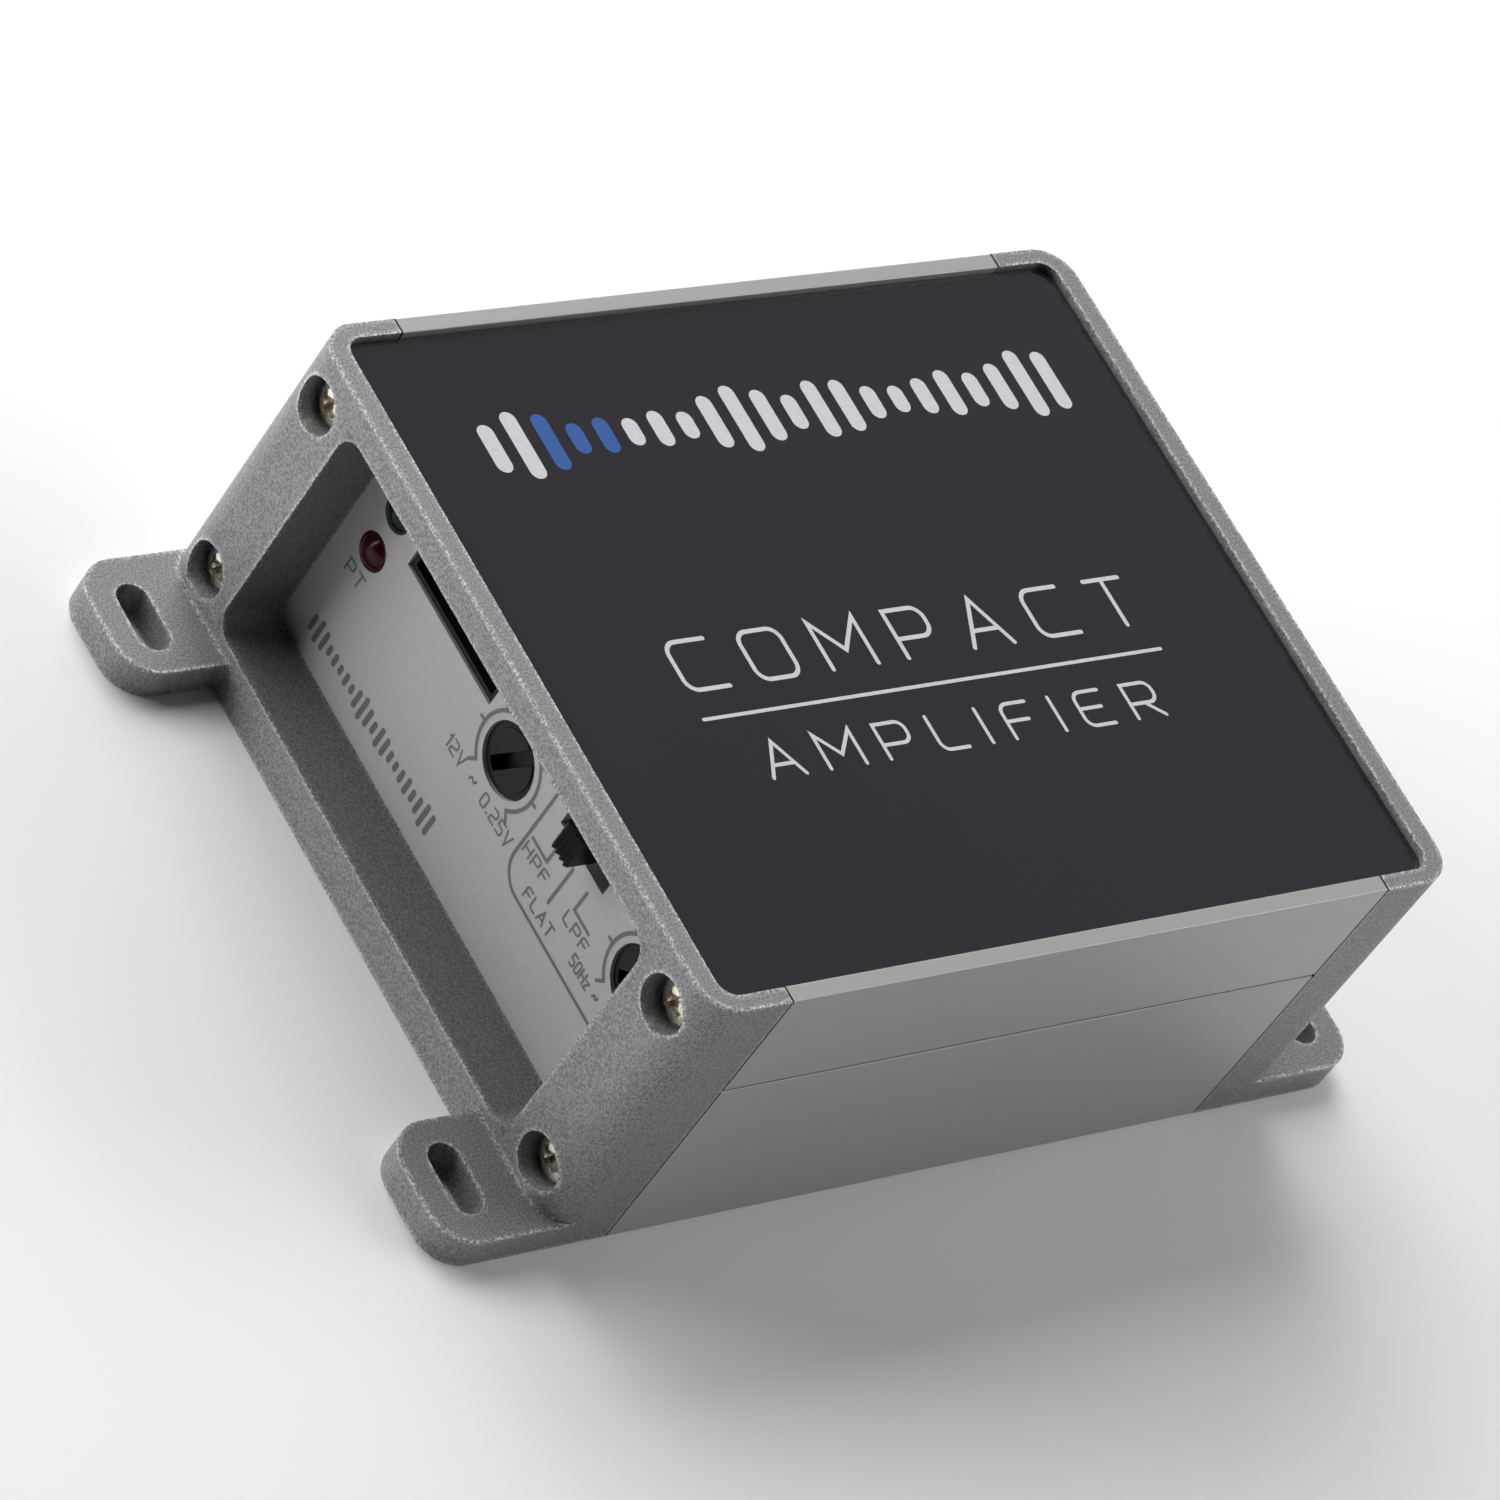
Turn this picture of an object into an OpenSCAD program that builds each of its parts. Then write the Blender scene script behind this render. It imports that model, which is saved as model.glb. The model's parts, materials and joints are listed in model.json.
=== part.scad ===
// Compact car amplifier: a two-part extruded case held between two cast end frames.
// Millimetres. X is the width, Y the length, Z up. The origin is the centre of the base.
// The control end faces -Y and the terminal end faces +Y.

/* [Case] */
// Width of the case across the flanks
case_w = 100; // [98:0.5:110]
// Height of the case from the base to the rim
case_h = 47; // [46.5:0.25:50]
// Length of the case between the two end faces, without the feet
case_l = 119; // [118:0.5:140]
// Depth of each end frame from its face to the seam with the shells
frame_depth = 11.75; // [11.5:0.05:13]
// Radius of the upright corners of the end frames
corner_r = 5; // [4:0.25:6]
// Height of the parting line between the upper and the lower shell
parting_z = 29.3; // [28.5:0.1:31]
// Wall thickness of the shells
wall = 2.2; // [2:0.1:2.6]

/* [Top plate] */
// Depth of the top plate's face below the rim
plate_drop = 1; // [0.6:0.1:1.5]
// Thickness of the top plate
plate_t = 1; // [0.8:0.1:1.2]
// Thickness of the adhesive sheet below the top plate
adhesive_t = 0.2; // [0.1:0.05:0.3]
// Width of the front bar's rim in front of the top plate
bar_rim = 2.9; // [2.4:0.1:3.4]

/* [End openings] */
// Width of the opening in an end frame
window_w = 75.2; // [74:0.2:78]
// Height of the lower edge of the opening
window_z0 = 6.4; // [5.6:0.1:7]
// Height of the upper edge of the opening
window_z1 = 43; // [42:0.1:43.2]
// Corner radius of the opening
window_r = 3; // [2:0.25:4]
// Thickness of the control panel and the terminal panel
panel_t = 2.4; // [2:0.1:2.6]

/* [Feet] */
// How far a foot reaches beyond the end face
foot_reach = 14.1; // [13:0.1:16]
// Width of a foot
foot_w = 17.2; // [16:0.1:19]
// Thickness of a foot
foot_t = 4.6; // [4:0.1:5]
// Distance of a slot's centre from the end face
slot_out = 8; // [7.5:0.1:8.5]
// Distance of a slot's centre from the middle plane
slot_x = 41.1; // [40.5:0.1:41.5]
// Width of a slot
slot_w = 4.5; // [4.2:0.1:5]
// End-to-end length of a slot
slot_l = 10; // [9:0.25:11]

/* [Frame screws] */
// Distance of the frame screws from the middle plane
screw_x = 43.5; // [43:0.1:44]
// Height of the lower frame screws
screw_low_z = 9.3; // [9:0.1:10]
// Height of the upper frame screws
screw_high_z = 40.4; // [40:0.1:40.6]
// Radius of the counterbore round a screw head
counterbore_r = 3.6; // [3.3:0.1:3.8]

/* [Controls] */
// Height of the two dial axes
dial_z = 28.6; // [27.5:0.1:29.5]
// Sideways place of the gain dial
gain_x = 1.4; // [0:0.1:3]
// Sideways place of the crossover dial
crossover_x = 33.8; // [33:0.1:34.2]
// Radius of a dial's hole in the panel
dial_hole_r = 4.8; // [4.6:0.1:5]
// Radius of a dial's slotted shaft
dial_shaft_r = 3.9; // [3.6:0.1:4.2]
// Direction of the gain shaft's slot, clockwise from upright
gain_slot_angle = 33; // [-140:1:140]
// Direction of the crossover shaft's slot, clockwise from upright
crossover_slot_angle = 50; // [-140:1:140]
// Sideways place of the mode switch in its middle position
switch_x = 17.5; // [17:0.1:18]
// Travel of the mode switch from the middle to either end
switch_travel = 3.4; // [3:0.1:3.4]

/* [Hidden] */
$fn = 64;

silver = "silver";
panel_grey = "lightgray";
black = "#1c1c1e";
board_green = "#1f5a34";
tin = "#c8c8c4";

half_w = case_w / 2;
half_l = case_l / 2;
seam_y = half_l - frame_depth;
ledge_z = case_h - plate_drop - plate_t - adhesive_t;
inner_x = half_w - wall;
plate_y = half_l - bar_rim;
plate_r = 2.5;
plate_side_gap = 0.05;
fit_gap = 0.1;
floor_t = 2.6;

// Panels behind the end openings
panel_w = 92;
panel_z0 = 2.8;
panel_z1 = 43.9;
panel_face = seam_y + panel_t;
led_x = -31.6;
protect_z = 26.3;
power_z = 33.5;
led_r = 2.45;
led_back = -seam_y + 1.5;
socket_x0 = -26.4;
socket_x1 = -5.4;
socket_z0 = 30.5;
socket_z1 = 40.5;
switch_z = 34.8;
switch_hole_w = 10.5;
switch_hole_h = 7.4;

// Screws
shank_r = 1.45;
bore_r = 1.5;
clear_r = 1.7;
head_r = 2.8;
head_h = 2.2;
seat_depth = 3.9;
screw_len = 18.9;
boss_r = 3.2;
over = 1; // how far a cutting shape reaches past the surface it cuts

// Boards
board_t = 1.6;
board_z = 13;
board_top = board_z + board_t;
control_board_y = -seam_y + 9.2;
pot_front = -seam_y + fit_gap;

// Dials
dial_recess = 0.35;
dial_slot_w = 1.9;
dial_slot_depth = 2;
shaft_in_body = 4.6;
running_gap = 0.05;

// Mode switch
knob_w = 3.6;
knob_h = 4.4;
knob_out = 4.6;
knob_ribs = 4;
carriage_w = 6;
carriage_h = 5.6;
carriage_t = 2.4;
switch_gap = 0.3;

// Terminals
terminal_z = board_top;
terminal_h = 16.4;
terminal_y0 = 37;
terminal_y1 = 53;
entry_depth = 12;
power_pitch = 9.6;
power_x = 20.5;
power_poles = 3;
speaker_pitch = 7.6;
speaker_x = -19;
speaker_poles = 4;
terminal_wall = 1.2;
entry_low = 1.4;
entry_h = 6.2;
screw_up = 12;
screw_hole_r = 2.7;
clamp_screw_r = 2.5;
clamp_screw_back = 3.6;
fuse_x = 20.5;
fuse_z = 37.4;
fuse_w = 19;
fuse_t = 5;
fuse_face = 54.6;
blade_x = 7.2;
blade_w = 5;
blade_t = 0.8;
blade_len = 7;
fuse_gap = 0.3;
fuse_lip = 1.5;
holder_w = fuse_w + 2 * fuse_lip;
holder_h = fuse_t + 2 * fuse_lip;

// Parts on the main board
toroid_x = -20;
toroid_y = 10;
core_r0 = 7;
core_r1 = 13;
core_h = 9;
core_z = board_top + 1.8;
winding_turns = 22;
winding_t = 1.1;

// Transistors under the main board
transistor_x = 31;
transistor_pitch = 16;
transistor_count = 4;
transistor_h = 4.4;
pad_t = 0.3;
clamp_t = 2;

// A rectangle with round corners, centred on the origin.
module round_rect(w, h, r) {
    square([w - 2 * r, h], center = true);
    square([w, h - 2 * r], center = true);
    for (sx = [-1, 1], sy = [-1, 1])
        translate([sx * (w / 2 - r), sy * (h / 2 - r)]) circle(r);
}

// Extrudes a shape drawn in X and Z from y0 to y1.
module along_y(y0, y1) {
    translate([0, y1, 0]) rotate([90, 0, 0]) linear_extrude(height = y1 - y0) children();
}

// A round rod along Y from y0 to y1.
module rod_y(x, z, r, y0, y1) {
    translate([x, y1, z]) rotate([90, 0, 0]) cylinder(r = r, h = y1 - y0);
}

// A box from its lowest to its highest corner.
module box(low, high) {
    translate(low) cube(high - low);
}

module at_frame_screws() {
    for (sx = [-1, 1], z = [screw_low_z, screw_high_z])
        translate([sx * screw_x, 0, z]) children();
}

// ---- Case ----

// Outline of the front frame seen from above: square at the seam, round at the face.
module frame_outline() {
    translate([0, -(half_l + seam_y) / 2 + corner_r / 2])
        square([case_w, frame_depth - corner_r], center = true);
    translate([0, -(half_l + seam_y) / 2])
        square([case_w - 2 * corner_r, frame_depth], center = true);
    for (sx = [-1, 1])
        translate([sx * (half_w - corner_r), -half_l + corner_r]) circle(corner_r);
}

// One mounting foot, flush with the flank, with its slot across the case.
module foot(side) {
    foot_r = 5.5;
    foot_root = frame_depth - corner_r;
    foot_len = foot_reach + corner_r;
    difference() {
        translate([side * (half_w - foot_w / 2), -half_l + corner_r - foot_len / 2, 0])
            linear_extrude(height = foot_t) {
                round_rect(foot_w, foot_len, foot_r);
                translate([-foot_w / 2, 0]) square([foot_w, foot_len / 2]);
            }
        translate([side * slot_x, -half_l - slot_out, -over])
            linear_extrude(height = foot_t + 2 * over) {
                square([slot_l - slot_w, slot_w], center = true);
                for (sx = [-1, 1])
                    translate([sx * (slot_l - slot_w) / 2, 0]) circle(slot_w / 2);
            }
    }
}

// The front end frame; the rear one is the same casting turned round.
module end_frame() {
    difference() {
        union() {
            linear_extrude(height = case_h) frame_outline();
            for (side = [-1, 1]) foot(side);
        }
        along_y(-half_l - over, -seam_y + over)
            translate([0, (window_z0 + window_z1) / 2])
                round_rect(window_w, window_z1 - window_z0, window_r);
        box([-panel_w / 2 - fit_gap, -panel_face, panel_z0 - fit_gap],
            [panel_w / 2 + fit_gap, -seam_y + over, panel_z1 + fit_gap]);
        translate([0, 0, ledge_z]) linear_extrude(height = case_h)
            round_rect(2 * (inner_x + plate_side_gap), 2 * plate_y, plate_r);
        at_frame_screws() {
            rod_y(0, 0, counterbore_r, -half_l - over, -half_l + seat_depth);
            rod_y(0, 0, clear_r, -half_l, -seam_y + over);
        }
    }
}

module front_end_frame() {
    color(silver) end_frame();
}

module rear_end_frame() {
    color(silver) rotate([0, 0, 180]) end_frame();
}

// Screw boss along the whole shell, tied to the flank by a web.
module shell_boss(z) {
    web_h = 3;
    for (side = [-1, 1]) {
        translate([side * screw_x, z]) circle(boss_r);
        translate([side * (screw_x + inner_x + bite) / 2, z])
            square([inner_x + bite - screw_x, web_h], center = true);
    }
}

module boss_bores(z) {
    for (side = [-1, 1]) translate([side * screw_x, z]) circle(bore_r);
}

bite = 0.5; // how far joined parts of one shell run into each other
tongue_h = 1.4;
tongue_t = 1;
groove_chamfer = 0.3;

module upper_shell() {
    web_t = 2.2;
    color(silver) along_y(-seam_y, seam_y) difference() {
        union() {
            for (side = [-1, 1])
                translate([side * (half_w + inner_x) / 2, (parting_z + case_h) / 2])
                    square([wall, case_h - parting_z], center = true);
            translate([0, ledge_z - web_t / 2])
                square([2 * (inner_x + bite), web_t], center = true);
            shell_boss(screw_high_z);
        }
        boss_bores(screw_high_z);
        for (side = [-1, 1]) {
            translate([side * inner_x, parting_z])
                square([2 * (tongue_t + fit_gap), 2 * (tongue_h + fit_gap)], center = true);
            translate([side * half_w, parting_z])
                circle(groove_chamfer, $fn = 4);
        }
    }
}

// Ribs above and below the main board guide its edges; posts carry the clamp bar's screws.
module lower_shell() {
    rib_reach = 2;
    rib_t = 1.2;
    rib_off = 0.9;
    post_r = 2.6;
    bore_z = 1.2;
    color(silver) difference() {
        union() {
            along_y(-seam_y, seam_y) difference() {
                union() {
                    for (side = [-1, 1]) {
                        translate([side * (half_w + inner_x) / 2, parting_z / 2])
                            square([wall, parting_z], center = true);
                        translate([side * (inner_x + tongue_t / 2), (parting_z + tongue_h) / 2])
                            square([tongue_t, parting_z + tongue_h], center = true);
                        for (z = [board_z - rib_off, board_top + rib_off])
                            translate([side * (inner_x + (bite - rib_reach) / 2), z])
                                square([rib_reach + bite, rib_t], center = true);
                    }
                    translate([0, floor_t / 2])
                        square([2 * (inner_x + bite), floor_t], center = true);
                    shell_boss(screw_low_z);
                }
                boss_bores(screw_low_z);
                for (side = [-1, 1])
                    translate([side * half_w, parting_z]) circle(groove_chamfer, $fn = 4);
            }
            for (i = [0:transistor_count - 2])
                translate([transistor_x, clamp_screw_y(i), floor_t / 2])
                    cylinder(r = post_r, h = clamp_seat_z - floor_t / 2);
        }
        for (i = [0:transistor_count - 2])
            translate([transistor_x, clamp_screw_y(i), bore_z])
                cylinder(r = bore_r, h = clamp_seat_z);
    }
}

module top_plate() {
    color("#2c2a2e") translate([0, 0, ledge_z + adhesive_t]) linear_extrude(height = plate_t)
        round_rect(2 * (inner_x - plate_side_gap), 2 * (plate_y - fit_gap), plate_r - fit_gap);
}

module plate_adhesive() {
    inset = 2;
    sheet_r = 1;
    color("white") translate([0, 0, ledge_z]) linear_extrude(height = adhesive_t)
        round_rect(2 * (inner_x - inset), 2 * (plate_y - inset), sheet_r);
}

// A panel drawn in X and Z, with clearance holes for the frame screws.
module panel_blank() {
    difference() {
        translate([-panel_w / 2, panel_z0]) square([panel_w, panel_z1 - panel_z0]);
        for (sx = [-1, 1], z = [screw_low_z, screw_high_z])
            translate([sx * screw_x, z]) circle(clear_r);
    }
}

module control_panel() {
    color(panel_grey) along_y(-panel_face, -seam_y) difference() {
        panel_blank();
        for (x = [gain_x, crossover_x]) translate([x, dial_z]) circle(dial_hole_r);
        for (z = [protect_z, power_z]) translate([led_x, z]) circle(led_r + fit_gap);
        translate([switch_x, switch_z]) square([switch_hole_w, switch_hole_h], center = true);
        translate([socket_x0, socket_z0]) square([socket_x1 - socket_x0, socket_z1 - socket_z0]);
    }
}

module terminal_panel() {
    color(panel_grey) along_y(seam_y, panel_face) difference() {
        panel_blank();
        terminal_hole(power_x, power_pitch * power_poles);
        terminal_hole(speaker_x, speaker_pitch * speaker_poles);
        translate([fuse_x, fuse_z])
            square([holder_w + 2 * fit_gap, holder_h + 2 * fit_gap], center = true);
    }
}

module terminal_hole(x, w) {
    translate([x, terminal_z + terminal_h / 2])
        square([w + 2 * terminal_wall + 2 * fit_gap, terminal_h + 2 * fit_gap], center = true);
}

// ---- Screws ----

// A pan-head cross-recess screw along -Y: its seat is at y = 0 and its head points to -Y.
module pan_screw(length) {
    dome_r = 5;
    cross_reach = 1.7;
    cross_w = 0.8;
    cross_depth = 1.3;
    cross_turn = 20;
    cone_depth = 1.7;
    cone_r0 = 0.3;
    cone_r1 = 1.1;
    difference() {
        union() {
            rod_y(0, 0, shank_r, -fit_gap, length);
            intersection() {
                rod_y(0, 0, head_r, -head_h, 0);
                translate([0, dome_r - head_h, 0]) sphere(dome_r);
            }
        }
        for (a = [0, 90])
            rotate([0, a + cross_turn, 0])
                box([-cross_reach, -head_h - over, -cross_w / 2],
                    [cross_reach, -head_h + cross_depth, cross_w / 2]);
        translate([0, -head_h + cone_depth, 0]) rotate([90, 0, 0])
            cylinder(r1 = cone_r0, r2 = cone_r1, h = cone_depth + 0.1);
    }
}

module frame_screws() {
    color(tin) at_frame_screws()
        translate([0, -half_l + seat_depth, 0]) pan_screw(screw_len);
}

module front_frame_screws() {
    frame_screws();
}

module rear_frame_screws() {
    rotate([0, 0, 180]) frame_screws();
}

// ---- Controls ----

// Pot body behind the panel, with a collar in the panel's hole, bored for its shaft.
module pot_body(x) {
    body_w = 11;
    body_h = 13;
    collar_recess = 0.5;
    bite_in = 0.1;
    color(black) difference() {
        union() {
            box([x - body_w / 2, pot_front, dial_z - body_h / 2],
                [x + body_w / 2, control_board_y, dial_z + body_h / 2]);
            rod_y(x, dial_z, dial_hole_r - fit_gap, -panel_face + collar_recess,
                  pot_front + bite_in);
        }
        rod_y(x, dial_z, dial_shaft_r + running_gap, -panel_face, pot_front + shaft_in_body);
    }
}

module pot_shaft(x, slot_angle) {
    tip = -panel_face + dial_recess;
    end_gap = 0.3;
    color(black) difference() {
        rod_y(x, dial_z, dial_shaft_r, tip, pot_front + shaft_in_body - end_gap);
        translate([x, tip, dial_z]) rotate([0, slot_angle, 0])
            box([-dial_slot_w / 2, -over, -dial_shaft_r - over],
                [dial_slot_w / 2, dial_slot_depth, dial_shaft_r + over]);
    }
}

module gain_pot_body() {
    pot_body(gain_x);
}

module gain_pot_shaft() {
    pot_shaft(gain_x, gain_slot_angle);
}

module crossover_pot_body() {
    pot_body(crossover_x);
}

module crossover_pot_shaft() {
    pot_shaft(crossover_x, crossover_slot_angle);
}

module centred_box(size, y0, y1) {
    box([switch_x - size[0] / 2, y0, switch_z - size[1] / 2],
        [switch_x + size[0] / 2, y1, switch_z + size[1] / 2]);
}

switch_front = -seam_y + fit_gap;
switch_lid = 1.5;
switch_side = 1.5;
switch_over = 2;
carriage_y0 = switch_front + switch_lid + switch_gap;

module mode_switch_body() {
    travel = 2 * (switch_travel + switch_gap);
    color(black) difference() {
        centred_box([carriage_w + travel + 2 * switch_side, carriage_h + 2 * switch_over],
                    switch_front, control_board_y);
        centred_box([carriage_w + travel, carriage_h + 2 * switch_gap],
                    carriage_y0 - switch_gap, carriage_y0 + carriage_t + switch_gap);
        centred_box([knob_w + travel, knob_h + 2 * switch_gap],
                    switch_front - over, carriage_y0);
    }
}

// The knob's face carries upright ridges.
module mode_switch_slider() {
    rib_w = knob_w / knob_ribs;
    rib_h = 0.45;
    root = 0.01;
    neck = 0.1;
    tip = -panel_face - knob_out;
    color(black) {
        centred_box([carriage_w, carriage_h], carriage_y0, carriage_y0 + carriage_t);
        centred_box([knob_w, knob_h], tip + rib_h, carriage_y0 + neck);
        translate([switch_x - knob_w / 2, 0, switch_z - knob_h / 2]) linear_extrude(height = knob_h)
            for (i = [0:knob_ribs - 1])
                polygon([[i * rib_w, tip + rib_h + root],
                         [(i + 0.5) * rib_w, tip],
                         [(i + 1) * rib_w, tip + rib_h + root]]);
    }
}

// A round lens that shows in the panel, with a flange behind it.
module led(z) {
    flange_out = 0.5;
    flange_y0 = -seam_y + 0.5;
    dome_r = 3;
    dome_back = 2;
    translate([led_x, 0, z]) {
        rod_y(0, 0, led_r, -panel_face, led_back);
        rod_y(0, 0, led_r + flange_out, flange_y0, led_back);
        intersection() {
            rod_y(0, 0, led_r, -panel_face - over, -panel_face + fit_gap);
            translate([0, -panel_face + dome_back, 0]) sphere(dome_r);
        }
    }
}

module power_led() {
    color("#1d3a24") led(power_z);
}

module protect_led() {
    color("#5a0c14") led(protect_z);
}

module led_holder() {
    body_w = 5.6;
    color(black) box([led_x - body_w / 2, led_back, protect_z - body_w / 2],
                     [led_x + body_w / 2, control_board_y, power_z + body_w / 2]);
}

// A shrouded socket whose nose fills the panel's opening, with a hole in its back for each pin.
module input_socket() {
    shroud = 1;
    lip = 0.8;
    nose_recess = 0.4;
    back_t = 1.2;
    hole_w = 0.7;
    color(black) difference() {
        union() {
            box([socket_x0 - shroud, -seam_y + fit_gap, socket_z0 - shroud],
                [socket_x1 + shroud, control_board_y, socket_z1 + shroud]);
            box([socket_x0 + fit_gap, -panel_face + nose_recess, socket_z0 + fit_gap],
                [socket_x1 - fit_gap, -seam_y + over, socket_z1 - fit_gap]);
        }
        box([socket_x0 + lip, -panel_face - over, socket_z0 + lip],
            [socket_x1 - lip, control_board_y - back_t, socket_z1 - lip]);
        for_socket_pins()
            box([-hole_w / 2, control_board_y - back_t - over, -hole_w / 2],
                [hole_w / 2, control_board_y + over, hole_w / 2]);
    }
}

module for_socket_pins() {
    columns = 7;
    pitch = 2.54;
    for (i = [0:columns - 1], row = [-1, 1])
        translate([(socket_x0 + socket_x1) / 2 + (i - (columns - 1) / 2) * pitch, 0,
                   (socket_z0 + socket_z1) / 2 + row * pitch / 2])
            children();
}

module input_socket_pins() {
    pin_w = 0.64;
    pin_inset = 2.2;
    color(tin) for_socket_pins()
        box([-pin_w / 2, -seam_y + pin_inset, -pin_w / 2], [pin_w / 2, control_board_y, pin_w / 2]);
}

// ---- Boards and what they carry ----

module control_board() {
    half = 39.5;
    low = board_top + 0.6;
    high = 42;
    color(board_green)
        box([-half, control_board_y, low], [half, control_board_y + board_t, high]);
}

// Right-angle header that joins the control board to the main board.
module board_link_header() {
    header_l = 30;
    header_t = 2.5;
    upright_h = 8;
    base_reach = 6;
    back = control_board_y + board_t;
    color(black) {
        box([-header_l / 2, back, board_top],
            [header_l / 2, back + header_t, board_top + upright_h]);
        box([-header_l / 2, back + header_t, board_top],
            [header_l / 2, back + base_reach, board_top + header_t]);
    }
}

module main_board() {
    side_gap = 0.2;
    end_gap = 0.3;
    color(board_green)
        box([-inner_x + side_gap, -seam_y + end_gap, board_z],
            [inner_x - side_gap, seam_y - end_gap, board_top]);
}

module toroid_core() {
    color("#3c3c3c") translate([toroid_x, toroid_y, core_z]) difference() {
        cylinder(r = core_r1, h = core_h);
        translate([0, 0, -over]) cylinder(r = core_r0, h = core_h + 2 * over);
    }
}

// Turns of flat copper wire, each a frame round the core's section.
module toroid_winding() {
    gap = 0.3;
    mid = (core_r0 + core_r1) / 2;
    section = [core_r1 - core_r0 + 2 * gap, core_h + 2 * gap];
    color("#b5651d") translate([toroid_x, toroid_y, core_z + core_h / 2])
        for (i = [0:winding_turns - 1])
            rotate([0, 0, i * 360 / winding_turns]) translate([mid, 0, 0]) difference() {
                cube([section[0] + 2 * winding_t, winding_t, section[1] + 2 * winding_t],
                     center = true);
                cube([section[0], winding_t + 2 * over, section[1]], center = true);
            }
}

// A row of four square inductors along the board.
module output_inductors() {
    size = 10;
    height = 8;
    pitch = 13;
    first = [6, -22];
    color("#4a4a4a") for (i = [0:3])
        translate([first[0], first[1] + i * pitch, board_top])
            linear_extrude(height = height) round_rect(size, size, 1.5);
}

// Two rows of two upright cans.
module supply_capacitors() {
    can_r = 5.2;
    can_h = 22;
    pitch = 13;
    first = [25, -4];
    color("#202830") for (i = [0:1], j = [0:1])
        translate([first[0] + i * pitch, first[1] + j * pitch, board_top])
            cylinder(r = can_r, h = can_h);
}

// A row of four boxed film capacitors across the board.
module filter_capacitors() {
    size = [8, 5, 9];
    pitch = 10;
    first = [-39, -20];
    color("#7a1f1f") for (i = [0:3])
        translate([first[0] + i * pitch, first[1], board_top]) cube(size);
}

chip_low = [20, -26];
chip_high = [34, -14];
chip_t = 2.4;
heat_block_h = 5.6;

module amplifier_chip() {
    color(black) box([chip_low[0], chip_low[1], board_top],
                     [chip_high[0], chip_high[1], board_top + chip_t]);
}

module chip_heat_block() {
    color(silver) box([chip_low[0], chip_low[1], board_top + chip_t],
                      [chip_high[0], chip_high[1], board_top + chip_t + heat_block_h]);
}

clamp_seat_z = floor_t + pad_t + transistor_h;

function clamp_screw_y(i) = (i - (transistor_count - 2) / 2) * transistor_pitch;
function transistor_y(i) = (i - (transistor_count - 1) / 2) * transistor_pitch;

// Moulded bodies with a metal tab beyond each, flat on the pad.
module power_transistors() {
    half = 5;
    tab_reach = 11;
    tab_t = 1.3;
    low = floor_t + pad_t;
    color(black) for (i = [0:transistor_count - 1]) {
        box([transistor_x - half, transistor_y(i) - half, low],
            [transistor_x + half, transistor_y(i) + half, low + transistor_h]);
        box([transistor_x - tab_reach, transistor_y(i) - half, low],
            [transistor_x - half, transistor_y(i) + half, low + tab_t]);
    }
}

module transistor_pad() {
    half_len = 31;
    reach = [11.5, 5.5];
    hole_r = 2.8;
    color("#b9c7d6") difference() {
        box([transistor_x - reach[0], -half_len, floor_t],
            [transistor_x + reach[1], half_len, floor_t + pad_t]);
        for (i = [0:transistor_count - 2])
            translate([transistor_x, clamp_screw_y(i), 0]) cylinder(r = hole_r, h = 2 * floor_t);
    }
}

module transistor_clamp_bar() {
    half_w = 4;
    half_len = 29;
    color(silver) difference() {
        box([transistor_x - half_w, -half_len, clamp_seat_z],
            [transistor_x + half_w, half_len, clamp_seat_z + clamp_t]);
        for (i = [0:transistor_count - 2])
            translate([transistor_x, clamp_screw_y(i), 0])
                cylinder(r = clear_r, h = clamp_seat_z + clamp_t + over);
    }
}

module clamp_bar_screws() {
    cap_r = 2.6;
    cap_h = 2;
    tip_z = 1.6;
    cross_reach = 1.5;
    cross_w = 0.7;
    cross_depth = 0.9;
    seat = clamp_seat_z + clamp_t;
    color(tin) for (i = [0:transistor_count - 2])
        translate([transistor_x, clamp_screw_y(i), 0]) difference() {
            union() {
                translate([0, 0, tip_z]) cylinder(r = shank_r, h = seat - tip_z + fit_gap);
                translate([0, 0, seat]) cylinder(r = cap_r, h = cap_h);
            }
            for (a = [0, 90]) rotate([0, 0, a])
                box([-cross_reach, -cross_w / 2, seat + cap_h - cross_depth],
                    [cross_reach, cross_w / 2, seat + cap_h + over]);
        }
}

// ---- Terminals ----

function pole_x(x, pitch, poles, i) = x + (i - (poles - 1) / 2) * pitch;

// A block of poles: a wire entry low in the face of each and a screw hole above it.
module terminal_block(x, pitch, poles) {
    width = pitch * poles + 2 * terminal_wall;
    entry_w = pitch - 2 * terminal_wall;
    link_w = 3.4;
    back = terminal_y1 - entry_depth;
    color(black) difference() {
        box([x - width / 2, terminal_y0, terminal_z],
            [x + width / 2, terminal_y1, terminal_z + terminal_h]);
        for (i = [0:poles - 1]) {
            px = pole_x(x, pitch, poles, i);
            box([px - entry_w / 2, back, terminal_z + entry_low],
                [px + entry_w / 2, terminal_y1 + over, terminal_z + entry_low + entry_h]);
            rod_y(px, terminal_z + screw_up, screw_hole_r, back, terminal_y1 + over);
            box([px - link_w / 2, back, terminal_z + entry_low + entry_h - fit_gap],
                [px + link_w / 2, back + clamp_screw_back, terminal_z + screw_up]);
        }
    }
}

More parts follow.
